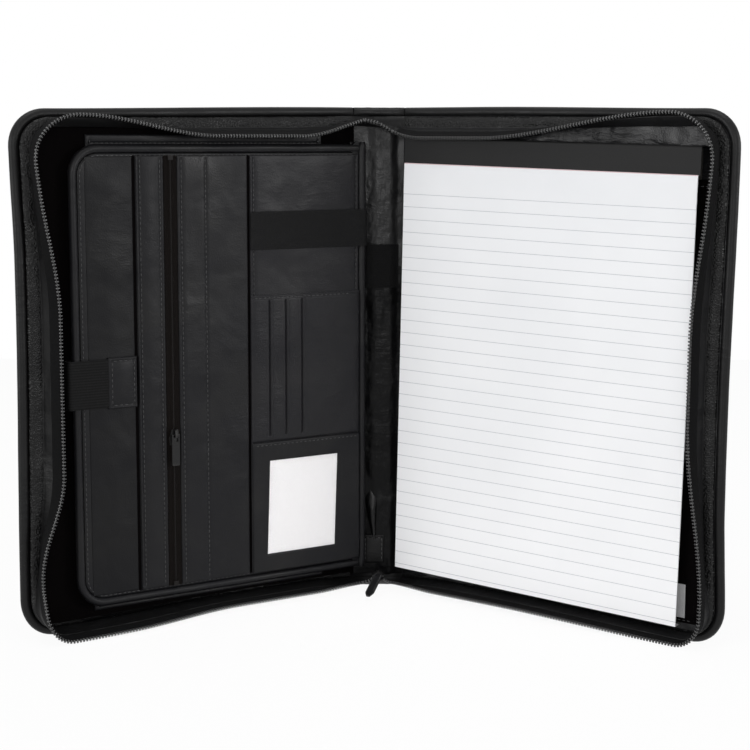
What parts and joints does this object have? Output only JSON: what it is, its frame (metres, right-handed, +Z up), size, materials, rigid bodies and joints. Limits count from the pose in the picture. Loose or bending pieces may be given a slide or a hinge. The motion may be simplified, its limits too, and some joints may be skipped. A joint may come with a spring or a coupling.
{
  "type": "zippered padfolio",
  "caption": "Black leather padfolio standing open: zipped gusset round both covers, swinging organiser with card slits and window, and a ruled writing pad.",
  "frame": {"origin": "middle of the spine's bottom edge, where the open case stands on the table", "axes": "+X to the right along the spine's width, towards the pad; +Y away from the reader, out of the spine's back; +Z up"},
  "size_m": [0.4381, 0.1561, 0.326],
  "materials": {
    "cover_leather": "fine-grained black leather, satin",
    "gusset_leather": "soft black leather, satin",
    "panel_leather": "smooth black leather, satin",
    "lining_fabric": "matte brown-black lining",
    "stiffener": "matte grey-brown board",
    "zip_tape": "woven black tape",
    "zip_coil": "black nylon",
    "zip_metal": "black painted",
    "elastic": "ribbed black elastic",
    "hook_and_loop": "matte black nap",
    "clear_film": "clear, glossy",
    "card_stock": "white card",
    "paper": "white ruled paper",
    "binding_paper": "dark grey binding tape",
    "label_fabric": "plain grey woven tab"
  },
  "bodies": {
    "spine": {"spine_leather": "cover_leather", "spine_board": "stiffener", "spine_lining": "lining_fabric", "pen_loop": "elastic", "zip_end_patch": "panel_leather", "gusset_floor": "gusset_leather", "gusset_roof": "gusset_leather", "zip_ends_bottom": "zip_coil", "zip_ends_top": "zip_coil", "front_crease": "cover_leather", "back_crease": "cover_leather"},
    "front_cover": {"front_shell": "cover_leather", "front_board": "stiffener", "front_lining": "lining_fabric", "front_gusset": "gusset_leather", "front_zip_tape": "zip_tape", "front_zip_chain": "zip_coil", "document_pocket": "lining_fabric", "organiser_hinge": "panel_leather"},
    "back_cover": {"back_shell": "cover_leather", "back_board": "stiffener", "back_lining": "lining_fabric", "back_gusset": "gusset_leather", "back_zip_tape": "zip_tape", "back_zip_chain": "zip_coil", "pad_pocket": "panel_leather", "pad_board": "card_stock", "page_block": "paper", "pad_binding": "binding_paper", "label_tab": "label_fabric"},
    "organiser": {"organiser_back": "lining_fabric", "organiser_board": "stiffener", "organiser_face": "panel_leather", "organiser_binding": "panel_leather", "organiser_edge_binding": "panel_leather", "pocket_strip": "panel_leather", "zip_pocket_panel": "panel_leather", "pocket_zip_tapes": "zip_tape", "pocket_zip_chain": "zip_coil", "pocket_zip_stops": "zip_metal", "card_base": "panel_leather", "card_pockets": "lining_fabric", "card_panel": "panel_leather", "elastic_band": "elastic", "id_frame": "panel_leather", "id_window": "clear_film", "strap_anchor": "elastic", "loop_pad": "hook_and_loop"},
    "strap": {"strap_elastic": "elastic", "strap_tab": "panel_leather", "hook_pad": "hook_and_loop"},
    "pocket_slider": {"pocket_slider": "zip_metal"},
    "pocket_pull": {"pocket_pull": "zip_metal"},
    "id_card": {"id_card": "card_stock"},
    "top_sheet": {"top_sheet": "paper"},
    "main_slider": {"main_slider": "zip_metal"},
    "main_pull": {"main_pull_ring": "zip_metal", "main_pull": "panel_leather"}
  },
  "joints": [
    {"name": "front_fold", "type": "hinge", "parent": "spine", "child": "front_cover", "pos_m": [-0.017, -0.00225, 0], "axis": [0, 0, 1], "range_deg": [-32, 58], "deforming": ["front_crease", "gusset_floor", "gusset_roof", "zip_ends_bottom", "zip_ends_top"]},
    {"name": "back_fold", "type": "hinge", "parent": "spine", "child": "back_cover", "pos_m": [0.017, -0.00225, 0], "axis": [0, 0, -1], "range_deg": [-36.8, 53.2], "deforming": ["back_crease", "gusset_floor", "gusset_roof", "zip_ends_bottom", "zip_ends_top"]},
    {"name": "organiser_open", "type": "hinge", "parent": "front_cover", "child": "organiser", "pos_m": [-0.01823, -0.00632, 0], "axis": [0, 0, -1], "range_deg": [-70, 0]},
    {"name": "strap_open", "type": "hinge", "parent": "organiser", "child": "strap", "pos_m": [-0.19179, -0.11919, 0.15625], "axis": [0, 0, 1], "range_deg": [-100, 0]},
    {"name": "pocket_slide", "type": "slide", "parent": "organiser", "child": "pocket_slider", "axis": [0, 0, 1], "range_m": [-0.089, 0.171]},
    {"name": "pocket_pull_swing", "type": "hinge", "parent": "pocket_slider", "child": "pocket_pull", "pos_m": [-0.13087, -0.08673, 0.1196], "axis": [0.848, 0.5299, 0], "range_deg": [-170, 0]},
    {"name": "id_card_slide", "type": "slide", "parent": "organiser", "child": "id_card", "axis": [0.848, 0.5299, 0], "range_m": [-0.055, 0]},
    {"name": "page_turn", "type": "hinge", "parent": "back_cover", "child": "top_sheet", "pos_m": [0.01697, -0.01421, 0.29233], "axis": [0.8005, -0.5989, -0.0227], "range_deg": [-140, 0]},
    {"name": "main_slide", "type": "slide", "parent": "spine", "child": "main_slider", "axis": [0, 1, 0], "range_m": [-0.018, 0], "deforming": ["zip_ends_bottom"]},
    {"name": "main_pull_swing", "type": "hinge", "parent": "main_slider", "child": "main_pull", "pos_m": [0, -0.01865, 0.0101], "axis": [1, 0, 0], "range_deg": [-130, 0]}
  ]
}
